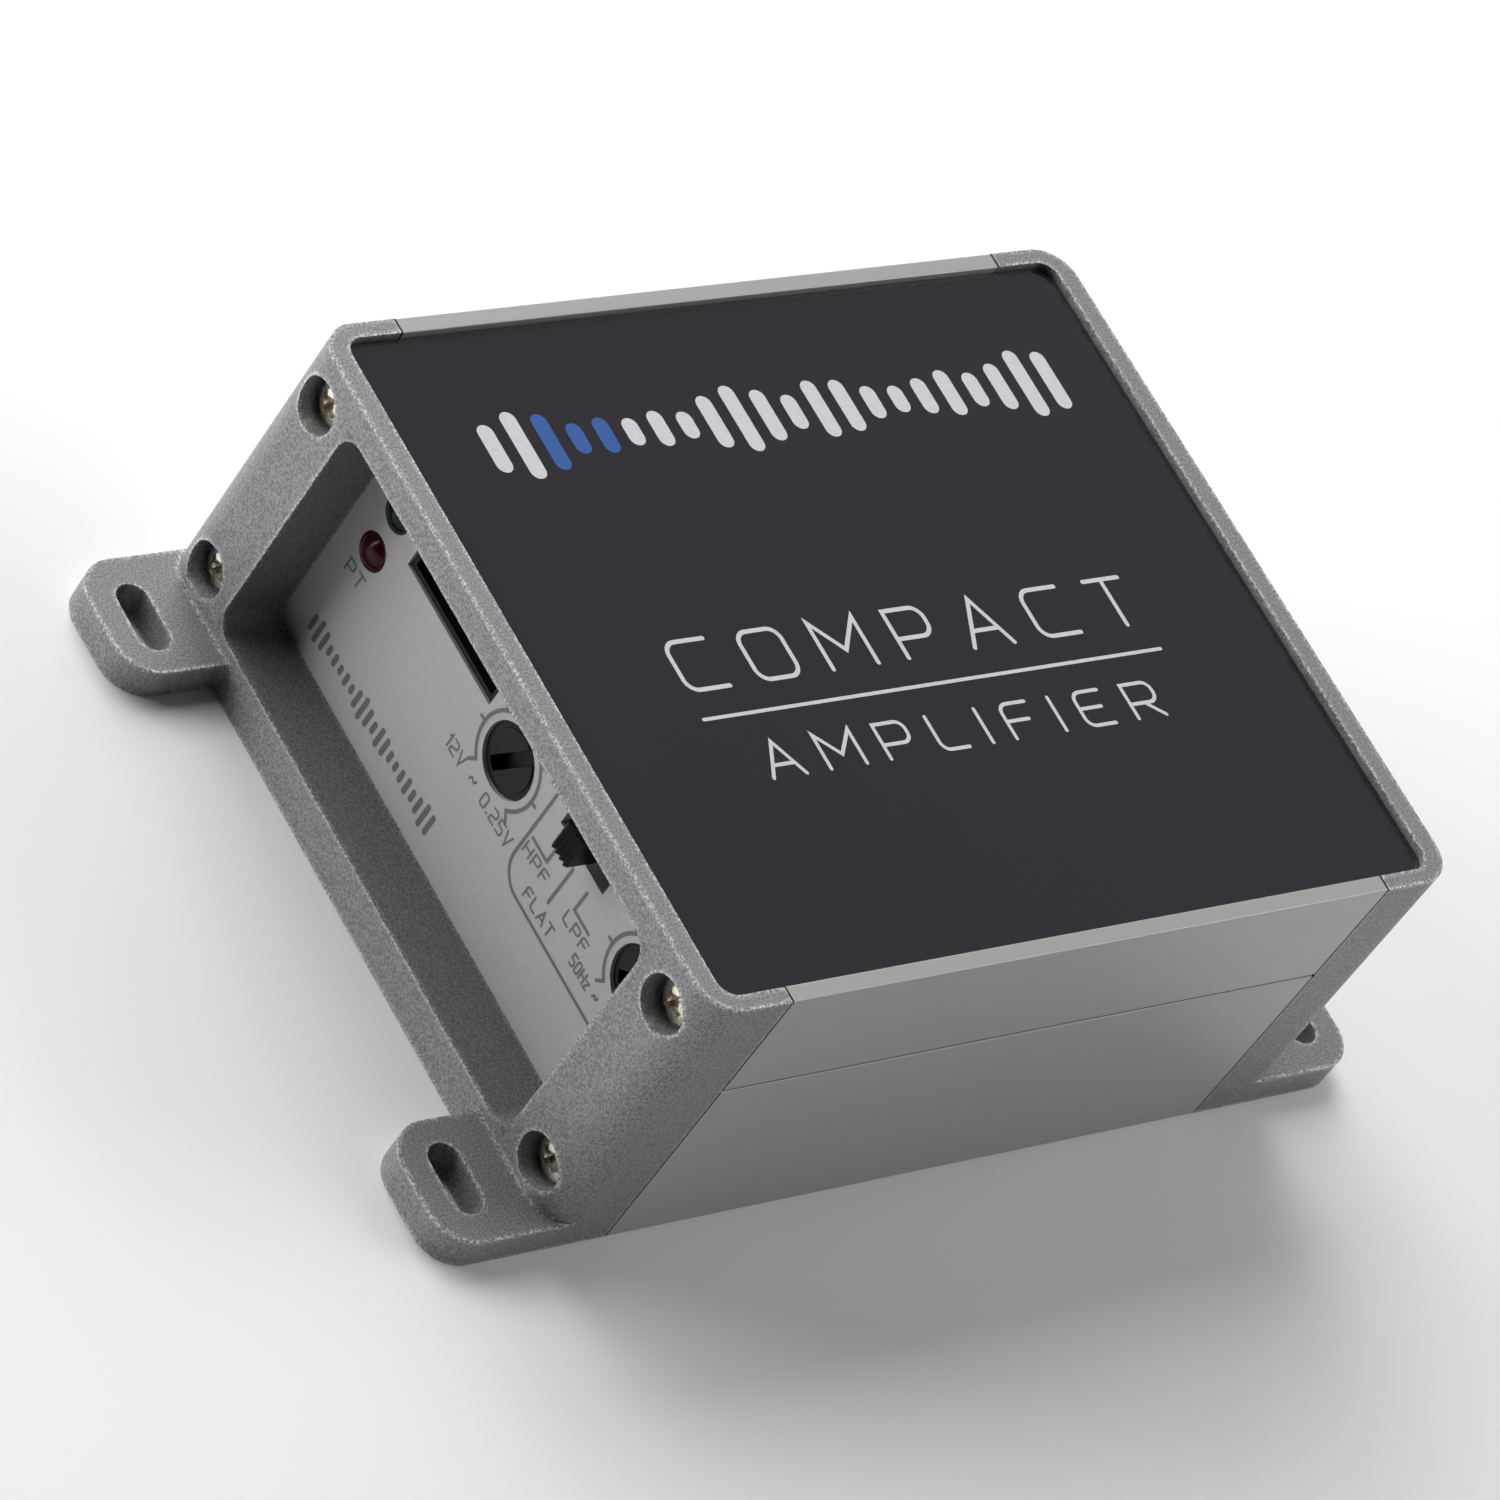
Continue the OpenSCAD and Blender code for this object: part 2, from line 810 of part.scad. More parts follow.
// Metal cage at the back of each entry, tapped for the pole's screw.
module wire_clamps(x, pitch, poles) {
    gap = 0.15;
    cage_w = pitch - 2 * terminal_wall - 2 * gap;
    cage_t = 3;
    cage_wall = 0.8;
    back = terminal_y1 - entry_depth;
    low = terminal_z + entry_low + gap;
    high = low + entry_h - 2 * gap;
    color(tin) for (i = [0:poles - 1]) {
        px = pole_x(x, pitch, poles, i);
        difference() {
            box([px - cage_w / 2, back + gap, low], [px + cage_w / 2, back + cage_t, high]);
            box([px - cage_w / 2 + cage_wall, back + gap + cage_wall, low + cage_wall],
                [px + cage_w / 2 - cage_wall, terminal_y1, high - cage_wall]);
        }
    }
}

// Slotted screws in a row, each turned a little further than the one before.
module clamp_screws(x, pitch, poles) {
    face = terminal_y1 - 2.5;
    slot_depth = 1.2;
    slot_h = 0.8;
    first_turn = 15;
    turn_step = 40;
    color(tin) for (i = [0:poles - 1])
        translate([pole_x(x, pitch, poles, i), 0, terminal_z + screw_up]) difference() {
            rod_y(0, 0, clamp_screw_r, terminal_y1 - entry_depth + clamp_screw_back, face);
            rotate([0, first_turn + turn_step * i, 0])
                box([-clamp_screw_r - over, face - slot_depth, -slot_h / 2],
                    [clamp_screw_r + over, face + over, slot_h / 2]);
        }
}

module power_terminal_block() {
    terminal_block(power_x, power_pitch, power_poles);
}

module power_wire_clamps() {
    wire_clamps(power_x, power_pitch, power_poles);
}

module power_clamp_screws() {
    clamp_screws(power_x, power_pitch, power_poles);
}

module speaker_terminal_block() {
    terminal_block(speaker_x, speaker_pitch, speaker_poles);
}

module speaker_wire_clamps() {
    wire_clamps(speaker_x, speaker_pitch, speaker_poles);
}

module speaker_clamp_screws() {
    clamp_screws(speaker_x, speaker_pitch, speaker_poles);
}

fuse_sunk = 2;
fuse_seat = panel_face - fuse_sunk;

// Socket for the fuse: a lip round the fuse's body and two slots for its blades.
module fuse_holder() {
    lip_out = 0.6;
    back_t = 1;
    blade_slot_h = 3.2;
    back = fuse_seat - blade_len - 2;
    color(black) difference() {
        box([fuse_x - holder_w / 2, back, fuse_z - holder_h / 2],
            [fuse_x + holder_w / 2, panel_face + lip_out, fuse_z + holder_h / 2]);
        box([fuse_x - fuse_w / 2 - fuse_gap, fuse_seat - fuse_gap, fuse_z - fuse_t / 2 - fuse_gap],
            [fuse_x + fuse_w / 2 + fuse_gap, panel_face + over, fuse_z + fuse_t / 2 + fuse_gap]);
        for (side = [-1, 1])
            box([fuse_x + side * blade_x - blade_w / 2 - fuse_gap, back + back_t,
                 fuse_z - blade_slot_h / 2],
                [fuse_x + side * blade_x + blade_w / 2 + fuse_gap, fuse_seat,
                 fuse_z + blade_slot_h / 2]);
    }
}

// A spring leaf on each side of each blade.
module fuse_contacts() {
    leaf_t = 0.6;
    leaf_w = 4;
    leaf_off = 1.2;
    inset = 1;
    color(tin) for (side = [-1, 1], up = [-1, 1])
        translate([fuse_x + side * blade_x, 0, fuse_z + up * leaf_off])
            box([-leaf_w / 2, fuse_seat - blade_len, -leaf_t / 2],
                [leaf_w / 2, fuse_seat - inset, leaf_t / 2]);
}

module blade_fuse() {
    color("#d8b400") {
        box([fuse_x - fuse_w / 2, fuse_seat, fuse_z - fuse_t / 2],
            [fuse_x + fuse_w / 2, fuse_face, fuse_z + fuse_t / 2]);
        for (side = [-1, 1])
            box([fuse_x + side * blade_x - blade_w / 2, fuse_seat - blade_len, fuse_z - blade_t / 2],
                [fuse_x + side * blade_x + blade_w / 2, fuse_seat + fit_gap, fuse_z + blade_t / 2]);
    }
}

front_end_frame();
rear_end_frame();
upper_shell();
lower_shell();
top_plate();
plate_adhesive();
control_panel();
terminal_panel();
front_frame_screws();
rear_frame_screws();
gain_pot_body();
gain_pot_shaft();
crossover_pot_body();
crossover_pot_shaft();
mode_switch_body();
mode_switch_slider();
power_led();
protect_led();
led_holder();
input_socket();
input_socket_pins();
control_board();
board_link_header();
main_board();
toroid_core();
toroid_winding();
output_inductors();
supply_capacitors();
filter_capacitors();
amplifier_chip();
chip_heat_block();
power_transistors();
transistor_pad();
transistor_clamp_bar();
clamp_bar_screws();
power_terminal_block();
power_wire_clamps();
power_clamp_screws();
speaker_terminal_block();
speaker_wire_clamps();
speaker_clamp_screws();
fuse_holder();
fuse_contacts();
blade_fuse();
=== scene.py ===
"""Looks of the compact car amplifier: materials, rounded edges, printed legends, floor, light, camera."""

import json
import math

import bmesh
import bpy
from mathutils import Matrix, Vector

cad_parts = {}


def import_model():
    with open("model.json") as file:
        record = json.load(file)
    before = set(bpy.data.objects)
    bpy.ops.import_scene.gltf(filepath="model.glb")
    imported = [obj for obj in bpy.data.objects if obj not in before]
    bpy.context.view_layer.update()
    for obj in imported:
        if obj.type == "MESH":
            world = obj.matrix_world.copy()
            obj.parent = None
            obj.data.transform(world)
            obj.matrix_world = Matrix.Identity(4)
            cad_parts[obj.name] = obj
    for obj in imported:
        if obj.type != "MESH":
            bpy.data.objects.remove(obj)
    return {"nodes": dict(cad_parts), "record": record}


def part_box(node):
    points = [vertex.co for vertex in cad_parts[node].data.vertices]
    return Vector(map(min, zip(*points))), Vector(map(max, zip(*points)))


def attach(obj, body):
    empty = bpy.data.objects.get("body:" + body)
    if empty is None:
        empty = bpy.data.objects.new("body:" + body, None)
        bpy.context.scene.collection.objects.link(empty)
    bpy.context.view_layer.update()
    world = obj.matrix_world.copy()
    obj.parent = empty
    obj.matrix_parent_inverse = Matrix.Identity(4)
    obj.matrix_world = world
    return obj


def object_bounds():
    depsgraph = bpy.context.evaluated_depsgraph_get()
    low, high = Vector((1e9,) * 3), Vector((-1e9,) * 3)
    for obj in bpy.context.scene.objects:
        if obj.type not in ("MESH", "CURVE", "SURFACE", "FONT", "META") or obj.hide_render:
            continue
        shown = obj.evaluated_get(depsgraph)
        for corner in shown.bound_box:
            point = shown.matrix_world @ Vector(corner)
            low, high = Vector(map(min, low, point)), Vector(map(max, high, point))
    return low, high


MM = 0.001
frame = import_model()
cad_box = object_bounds()
nodes = frame["nodes"]

# ---- Places taken from the frame ----

def middle(name):
    """The middle of a node's box, in metres."""
    low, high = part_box(name)
    return (low + high) / 2


plate_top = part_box("top_plate")[1].z
control_face_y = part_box("control_panel")[0].y
terminal_face_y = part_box("terminal_panel")[1].y
seam_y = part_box("upper_shell")[1].y
parting_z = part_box("upper_shell")[0].z


# ---- Node helpers ----

COAT_ROUGHNESS = 0.1
COLOR_NOISE = (0.35, 0.65)
ROUGHNESS_NOISE = (0.3, 0.7)
SPECKLE_NOISE = (0.44, 0.62)
EDGE_SAMPLES = 4


def new_material(name, color, roughness, metallic=0.0, coat=0.0):
    """A Principled material; color and roughness hold until detail takes their place."""
    material = bpy.data.materials.new(name)
    material.use_nodes = True
    shader = material.node_tree.nodes["Principled BSDF"]
    shader.inputs["Base Color"].default_value = (*color, 1.0)
    shader.inputs["Roughness"].default_value = roughness
    shader.inputs["Metallic"].default_value = metallic
    shader.inputs["Coat Weight"].default_value = coat
    shader.inputs["Coat Roughness"].default_value = COAT_ROUGHNESS
    return material


def set_specular(material, level):
    """Strength of the surface reflection; 0.5 is the usual one."""
    shader = material.node_tree.nodes["Principled BSDF"]
    shader.inputs["Specular IOR Level"].default_value = level


def place_vector(material, stretch=(1.0, 1.0, 1.0)):
    """The row-frame position in metres, stretched along each axis."""
    tree = material.node_tree
    coordinates = tree.nodes.new("ShaderNodeTexCoord")
    mapping = tree.nodes.new("ShaderNodeMapping")
    mapping.inputs["Scale"].default_value = stretch
    tree.links.new(coordinates.outputs["Object"], mapping.inputs["Vector"])
    return mapping.outputs["Vector"]


def noise(material, grain_mm, detail=2.0, stretch=(1.0, 1.0, 1.0)):
    """Noise whose blotches are about grain_mm wide."""
    tree = material.node_tree
    texture = tree.nodes.new("ShaderNodeTexNoise")
    texture.inputs["Scale"].default_value = 1.0 / (grain_mm * MM)
    texture.inputs["Detail"].default_value = detail
    tree.links.new(place_vector(material, stretch), texture.inputs["Vector"])
    return texture.outputs["Fac"]


def vary_color(material, factor, dark, light):
    """Base colour that runs from dark to light with factor."""
    tree = material.node_tree
    ramp = tree.nodes.new("ShaderNodeValToRGB")
    for stop, position, color in zip(ramp.color_ramp.elements, COLOR_NOISE, (dark, light)):
        stop.position = position
        stop.color = (*color, 1.0)
    tree.links.new(factor, ramp.inputs["Fac"])
    tree.links.new(ramp.outputs["Color"], tree.nodes["Principled BSDF"].inputs["Base Color"])


def vary_roughness(material, factor, low, high):
    """Roughness that runs from low to high with factor."""
    tree = material.node_tree
    span = tree.nodes.new("ShaderNodeMapRange")
    span.inputs["From Min"].default_value = ROUGHNESS_NOISE[0]
    span.inputs["From Max"].default_value = ROUGHNESS_NOISE[1]
    span.inputs["To Min"].default_value = low
    span.inputs["To Max"].default_value = high
    tree.links.new(factor, span.inputs["Value"])
    tree.links.new(span.outputs["Result"], tree.nodes["Principled BSDF"].inputs["Roughness"])


def add_bump(material, factor, height_mm, strength):
    """Surface relief of about height_mm."""
    tree = material.node_tree
    bump = tree.nodes.new("ShaderNodeBump")
    bump.inputs["Distance"].default_value = height_mm * MM
    bump.inputs["Strength"].default_value = strength
    tree.links.new(factor, bump.inputs["Height"])
    tree.links.new(bump.outputs["Normal"], tree.nodes["Principled BSDF"].inputs["Normal"])


def edge_mask(material, radius_mm, gain):
    """A factor that is 0 on flat ground and rises towards 1 within radius_mm of an edge."""
    tree = material.node_tree
    bevel = tree.nodes.new("ShaderNodeBevel")
    bevel.samples = EDGE_SAMPLES
    bevel.inputs["Radius"].default_value = radius_mm * MM
    geometry = tree.nodes.new("ShaderNodeNewGeometry")
    agreement = tree.nodes.new("ShaderNodeVectorMath")
    agreement.operation = "DOT_PRODUCT"
    tree.links.new(bevel.outputs["Normal"], agreement.inputs[0])
    tree.links.new(geometry.outputs["Normal"], agreement.inputs[1])
    mask = tree.nodes.new("ShaderNodeMapRange")
    mask.inputs["From Min"].default_value = 1.0
    mask.inputs["From Max"].default_value = 1.0 - 1.0 / gain
    tree.links.new(agreement.outputs["Value"], mask.inputs["Value"])
    return mask.outputs["Result"]


def speckle(material, grain_mm):
    """Noise cut into separate bright spots about grain_mm wide."""
    tree = material.node_tree
    cut = tree.nodes.new("ShaderNodeMapRange")
    cut.inputs["From Min"].default_value = SPECKLE_NOISE[0]
    cut.inputs["From Max"].default_value = SPECKLE_NOISE[1]
    tree.links.new(noise(material, grain_mm, detail=1.0), cut.inputs["Value"])
    return cut.outputs["Result"]


def product(material, first, second):
    """Two factors multiplied."""
    tree = material.node_tree
    times = tree.nodes.new("ShaderNodeMath")
    times.operation = "MULTIPLY"
    tree.links.new(first, times.inputs[0])
    tree.links.new(second, times.inputs[1])
    return times.outputs["Value"]


def band_mask(material, axis, place, half_width_mm, soft_mm=0.1):
    """A factor that is 1 where that coordinate, whatever its sign, is near place, and 0 elsewhere."""
    tree = material.node_tree
    parts = tree.nodes.new("ShaderNodeSeparateXYZ")
    tree.links.new(place_vector(material), parts.inputs["Vector"])
    size = tree.nodes.new("ShaderNodeMath")
    size.operation = "ABSOLUTE"
    tree.links.new(parts.outputs[axis], size.inputs[0])
    off = tree.nodes.new("ShaderNodeMath")
    off.operation = "SUBTRACT"
    off.inputs[1].default_value = place
    tree.links.new(size.outputs["Value"], off.inputs[0])
    distance = tree.nodes.new("ShaderNodeMath")
    distance.operation = "ABSOLUTE"
    tree.links.new(off.outputs["Value"], distance.inputs[0])
    mask = tree.nodes.new("ShaderNodeMapRange")
    mask.inputs["From Min"].default_value = (half_width_mm + soft_mm / 2) * MM
    mask.inputs["From Max"].default_value = (half_width_mm - soft_mm / 2) * MM
    tree.links.new(distance.outputs["Value"], mask.inputs["Value"])
    return mask.outputs["Result"]


def turn_toward(material, factor, color, share=1.0):
    """Runs the base colour that share of the way towards color where factor is 1."""
    tree = material.node_tree
    socket = tree.nodes["Principled BSDF"].inputs["Base Color"]
    weight = tree.nodes.new("ShaderNodeMath")
    weight.operation = "MULTIPLY"
    weight.inputs[1].default_value = share
    tree.links.new(factor, weight.inputs[0])
    mix = tree.nodes.new("ShaderNodeMix")
    mix.data_type = "RGBA"
    tree.links.new(weight.outputs["Value"], mix.inputs["Factor"])
    tree.links.new(socket.links[0].from_socket, mix.inputs["A"])
    mix.inputs["B"].default_value = (*color, 1.0)
    tree.links.new(mix.outputs["Result"], socket)


def darker(color, share):
    """A colour brought down to that share of its brightness."""
    return tuple(share * c for c in color)


# ---- Materials ----

LINE_HALF_WIDTH_MM = 0.15
# Painted shade for the narrow gap at the seams and in the parting groove
SEAM_SHADE = (0.012, 0.013, 0.012)
# Painted shade inside the window recess of each end frame
RECESS_SHADE = (0.05, 0.05, 0.05)
# Lighter colour on the edges: partly real rubbed wear, partly painted highlight
WEAR_AND_HIGHLIGHT = (0.95, 0.95, 0.96)

# The opening inside each end frame; its middle is a height above the base
WINDOW_HALF_WIDTH_MM = 37.7
WINDOW_HALF_HEIGHT_MM = 18.4
WINDOW_MIDDLE_MM = 24.7
WINDOW_EDGE_MM = 0.2


def cast_silver():
    """Metallic coat over a cast surface: edges lightened, partly real wear and partly painted highlight;
    painted shade inside the window and along the seam.
    """
    material = new_material("cast_silver", (0.255, 0.255, 0.26), 0.5, metallic=0.5)
    grain = noise(material, 0.27, detail=1.0)
    vary_color(material, grain, (0.185, 0.185, 0.190), (0.345, 0.345, 0.352))
    vary_roughness(material, noise(material, 0.7), low=0.45, high=0.56)
    add_bump(material, grain, height_mm=0.03, strength=0.7)
    edges = edge_mask(material, radius_mm=1.1, gain=7.0)
    # Lightened edges: partly real rubbed wear, partly painted highlight where edges catch the light
    wear_and_highlight = product(material, edges, speckle(material, grain_mm=0.34))
    turn_toward(material, wear_and_highlight, WEAR_AND_HIGHLIGHT, share=0.9)
    window_x = band_mask(material, "X", 0.0, WINDOW_HALF_WIDTH_MM, WINDOW_EDGE_MM)
    window_z = band_mask(material, "Z", WINDOW_MIDDLE_MM * MM, WINDOW_HALF_HEIGHT_MM, WINDOW_EDGE_MM)
    # Painted shade: the walls inside the window are darkened
    turn_toward(material, product(material, window_x, window_z), RECESS_SHADE, share=0.32)
    # Painted shade: a dark line where the frame meets the shell
    turn_toward(material, band_mask(material, "Y", seam_y, LINE_HALF_WIDTH_MM), SEAM_SHADE)
    return material


def anodised_silver():
    """Satin anodised extrusion with very faint die lines along its length, and painted shade at the seam
    and the parting groove.
    """
    material = new_material("anodised_silver", (0.41, 0.41, 0.40), 0.42, metallic=0.5)
    lines = noise(material, 0.6, stretch=(1.0, 0.02, 1.0))
    vary_color(material, lines, (0.430, 0.427, 0.417), (0.445, 0.442, 0.432))
    vary_roughness(material, noise(material, 0.25), low=0.39, high=0.45)
    add_bump(material, noise(material, 0.2), height_mm=0.004, strength=0.4)
    # Painted shade: dark lines at the seam and along the parting groove
    turn_toward(material, band_mask(material, "Y", seam_y, LINE_HALF_WIDTH_MM), SEAM_SHADE)
    turn_toward(material, band_mask(material, "Z", parting_z, LINE_HALF_WIDTH_MM), SEAM_SHADE)
    return material


def gloss_charcoal():
    """Gloss plate, nearly black, with a very faint ripple."""
    material = new_material("gloss_charcoal", (0.013, 0.0115, 0.0145), 0.1)
    vary_color(material, noise(material, 30.0), (0.0125, 0.0098, 0.0150), (0.0138, 0.0110, 0.0163))
    add_bump(material, noise(material, 6.0), height_mm=0.003, strength=0.3)
    return material


def panel_grey():
    """Warm grey sprayed panel, satin, with a fine orange peel."""
    material = new_material("panel_grey", (0.42, 0.41, 0.40), 0.5)
    vary_color(material, noise(material, 0.5), (0.388, 0.380, 0.370), (0.408, 0.400, 0.390))
    add_bump(material, noise(material, 0.4), height_mm=0.006, strength=0.4)
    return material


def black_plastic():
    """Moulded black plastic with a fine spark-eroded texture."""
    material = new_material("black_plastic", (0.008, 0.008, 0.009), 0.38)
    set_specular(material, 0.25)
    vary_color(material, noise(material, 0.6), (0.0035, 0.0035, 0.0042), (0.007, 0.007, 0.0078))
    vary_roughness(material, noise(material, 0.3), low=0.3, high=0.46)
    add_bump(material, noise(material, 0.15), height_mm=0.01, strength=0.3)
    return material


def lens(name, color):
    """Tinted lamp lens with a soft gloss."""
    material = new_material(name, color, 0.2)
    set_specular(material, 0.22)
    vary_color(material, noise(material, 1.5), darker(color, 0.6), color)
    return material


def nickel():
    """Bright nickel plate, slightly warm, with fine tool marks."""
    material = new_material("nickel", (0.80, 0.74, 0.64), 0.24, metallic=1.0)
    vary_color(material, noise(material, 1.2), (0.74, 0.68, 0.58), (0.86, 0.80, 0.71))
    vary_roughness(material, noise(material, 0.8), low=0.2, high=0.3)
    return material


def tinned():
    """Dull tin plate."""
    material = new_material("tinned", (0.6, 0.6, 0.58), 0.35, metallic=1.0)
    vary_roughness(material, noise(material, 0.4), low=0.28, high=0.45)
    return material


def board_green():
    """Solder mask over faint tracks."""
    material = new_material("board_green", (0.02, 0.12, 0.04), 0.35, coat=0.4)
    tracks = noise(material, 2.0, stretch=(1.0, 0.2, 1.0))
    vary_color(material, tracks, (0.015, 0.09, 0.03), (0.03, 0.16, 0.05))
    return material


def inner_materials():
    """Materials of the sealed inner pieces: a colour that varies a little, at the grain each one has."""
    made = {}
    # Colour, roughness, metallic, grain in millimetres
    recipes = {
        "adhesive": ((0.75, 0.75, 0.72), 0.8, 0.0, 1.0),
        "ferrite": ((0.05, 0.05, 0.052), 0.6, 0.0, 0.4),
        "copper_wire": ((0.45, 0.18, 0.07), 0.3, 0.9, 0.6),
        "capacitor_sleeve": ((0.02, 0.03, 0.05), 0.3, 0.0, 1.5),
        "film_capacitor": ((0.25, 0.03, 0.02), 0.35, 0.0, 1.0),
        "heat_aluminium": ((0.6, 0.6, 0.61), 0.35, 1.0, 0.3),
        "pad": ((0.35, 0.42, 0.5), 0.8, 0.0, 0.4),
    }
    for name, (color, roughness, metallic, grain_mm) in recipes.items():
        material = new_material(name, color, roughness, metallic)
        vary_color(material, noise(material, grain_mm), darker(color, 0.85), color)
        made[name] = material
    return made


def fuse_amber():
    """Amber moulded fuse body."""
    material = new_material("fuse_amber", (0.7, 0.38, 0.01), 0.25, coat=0.5)
    vary_color(material, noise(material, 2.0), (0.62, 0.32, 0.01), (0.75, 0.42, 0.02))
    return material


def ink(name, color):
    """Screen-printed ink, slightly uneven."""
    material = new_material(name, color, 0.45)
    vary_color(material, noise(material, 0.6), darker(color, 0.93), color)
    return material


looks = {
    "cast_silver": cast_silver(),
    "anodised_silver": anodised_silver(),
    "gloss_charcoal": gloss_charcoal(),
    "panel_grey": panel_grey(),
    "black_plastic": black_plastic(),
    "green_lens": lens("green_lens", (0.004, 0.018, 0.008)),
    "red_lens": lens("red_lens", (0.045, 0.003, 0.007)),
    "nickel": nickel(),
    "tinned": tinned(),
    "board": board_green(),
    "fuse_amber": fuse_amber(),
    **inner_materials(),
}
white_ink = ink("white_ink", (0.60, 0.60, 0.62))
blue_ink = ink("blue_ink", (0.012, 0.085, 0.33))
grey_ink = ink("grey_ink", (0.13, 0.13, 0.14))

slot_of = {s["node"]: s["material_slot"] for s in frame["record"]["subparts"]}
for name, node in nodes.items():
    node.data.materials.clear()
    node.data.materials.append(looks[slot_of[name]])


# ---- Rounded edges on the shown CAD nodes ----

WELD_MM = 0.002
FLAT_ANGLE_DEG = 1
EDGE_ANGLE_DEG = 35
EDGE_SEGMENTS = 3


def soften(name, width_mm):
    """Rounds a CAD node's edges with modifiers; its own mesh stays as it is."""
    node = nodes[name]
    if "custom_normal" in node.data.attributes:
        node.data.attributes.remove(node.data.attributes["custom_normal"])
    for face in node.data.polygons:
        face.use_smooth = True
    weld = node.modifiers.new("weld", "WELD")
    weld.merge_threshold = WELD_MM * MM
    flat = node.modifiers.new("flat", "DECIMATE")
    flat.decimate_type = "DISSOLVE"
    flat.angle_limit = math.radians(FLAT_ANGLE_DEG)
    bevel = node.modifiers.new("bevel", "BEVEL")
    bevel.width = width_mm * MM
    bevel.segments = EDGE_SEGMENTS
    bevel.limit_method = "ANGLE"
    bevel.angle_limit = math.radians(EDGE_ANGLE_DEG)
    bevel.harden_normals = True
    normals = node.modifiers.new("normals", "WEIGHTED_NORMAL")
    normals.keep_sharp = True


edge_radii_mm = {
    "front_end_frame": 0.38,
    "rear_end_frame": 0.38,
    "upper_shell": 0.2,
    "lower_shell": 0.2,
    "top_plate": 0.1,
    "control_panel": 0.12,
    "terminal_panel": 0.12,
    "power_terminal_block": 0.25,
    "speaker_terminal_block": 0.25,
    "fuse_holder": 0.25,
    "blade_fuse": 0.3,
    "mode_switch_slider": 0.12,
    "gain_pot_shaft": 0.15,
    "crossover_pot_shaft": 0.15,
}
for name, radius in edge_radii_mm.items():
    soften(name, radius)


# ---- Printed legends ----

def surface(origin, right, up):
    """Matrix from drawing millimetres (right, up, out of the surface) to the row frame."""
    right, up = Vector(right), Vector(up)
    matrix = Matrix((right, up, right.cross(up))).transposed().to_4x4()
    return Matrix.Translation(Vector(origin)) @ matrix @ Matrix.Scale(MM, 4)


top_face = surface((0, 0, plate_top), (0, 1, 0), (-1, 0, 0))
control_face = surface((0, control_face_y, 0), (1, 0, 0), (0, 0, 1))
terminal_face = surface((0, terminal_face_y, 0), (-1, 0, 0), (0, 0, 1))

# Millimetres
INK_LIFT = 0.02
LAYER_STEP = 0.005
LEGEND_STROKE = 0.32
LINE_WIDTH = 0.5
SAME_PLACE = 1e-6

# Corners and ends of strokes
BLUNT_CORNER_DEG = 110
LEAST_MITRE_COSINE = 0.35
CURVE_STEPS = 6

# Gaps between letters, as a share of the letters' height before they are fitted to a box
LETTER_GAP = 0.45
WIDE_LETTER_GAP = 0.75


def arc(centre, radius, start, end, steps=24):
    """Points on an arc; angles in degrees clockwise from up."""
    points = []
    for i in range(steps + 1):
        a = math.radians(start + (end - start) * i / steps)
        points.append((centre[0] + radius * math.sin(a), centre[1] + radius * math.cos(a)))
    return points


def rounded(points):
    """Points with each blunt corner turned into a curve; tighter corners stay."""
    points = [Vector(p) for p in points]
    curved = [points[0]]
    for before, corner, after in zip(points, points[1:], points[2:]):
        back, ahead = before - corner, after - corner
        if back.angle(ahead) < math.radians(BLUNT_CORNER_DEG):
            curved.append(corner)
            continue
        reach = min(back.length, ahead.length) / 2
        start = corner + back.normalized() * reach
        end = corner + ahead.normalized() * reach
        for i in range(CURVE_STEPS + 1):
            t = i / CURVE_STEPS
            curved.append((1 - t) ** 2 * start + 2 * t * (1 - t) * corner + t ** 2 * end)
    curved.append(points[-1])
    return [p for i, p in enumerate(curved) if i == 0 or (p - curved[i - 1]).length > SAME_PLACE]


def ribbon(mesh, points, width, layer=0):
    """Adds a flat stroke with mitred corners and round ends; layer keeps strokes that cross apart."""
    points = [Vector(p) for p in points]
    height = INK_LIFT + layer * LAYER_STEP
    left, right = [], []
    for i, point in enumerate(points):
        before = (point - points[i - 1]).normalized() if i else None
        after = (points[i + 1] - point).normalized() if i < len(points) - 1 else None
        along = ((before or after) + (after or before)).normalized()
        across = Vector((-along.y, along.x))
        stretch = 1 / max(LEAST_MITRE_COSINE, abs(along.dot(after or before)))
        offset = across * width / 2 * stretch
        left.append(mesh.verts.new((*(point + offset), height)))
        right.append(mesh.verts.new((*(point - offset), height)))
    for i in range(len(points) - 1):
        mesh.faces.new((left[i], right[i], right[i + 1], left[i + 1]))
    if points[0] != points[-1]:
        round_end(mesh, points[-1], points[-1] - points[-2], left[-1], right[-1])
        round_end(mesh, points[0], points[0] - points[1], right[0], left[0])


def round_end(mesh, end, outward, first, last):
    """Adds a half disc to the end of a stroke, between its two corners there."""
    radius = (first.co - last.co).length / 2
    outward = outward.normalized()
    across = Vector((-outward.y, outward.x))
    rim = []
    for i in range(1, CURVE_STEPS):
        a = math.pi * i / CURVE_STEPS
        place = end + radius * (math.sin(a) * outward - math.cos(a) * across)
        rim.append(mesh.verts.new((*place, first.co.z)))
    mesh.faces.new([last] + rim + [first])


def patch(mesh, outline):
    """Adds a flat filled outline."""
    mesh.faces.new([mesh.verts.new((x, y, INK_LIFT)) for x, y in outline])


def pill(centre, width, height):
    """Outline of an upright bar with round ends."""
    reach = height / 2 - width / 2
    top = arc((centre[0], centre[1] + reach), width / 2, -90, 90, steps=10)
    bottom = arc((centre[0], centre[1] - reach), width / 2, 90, 270, steps=10)
    return list(reversed(top + bottom))


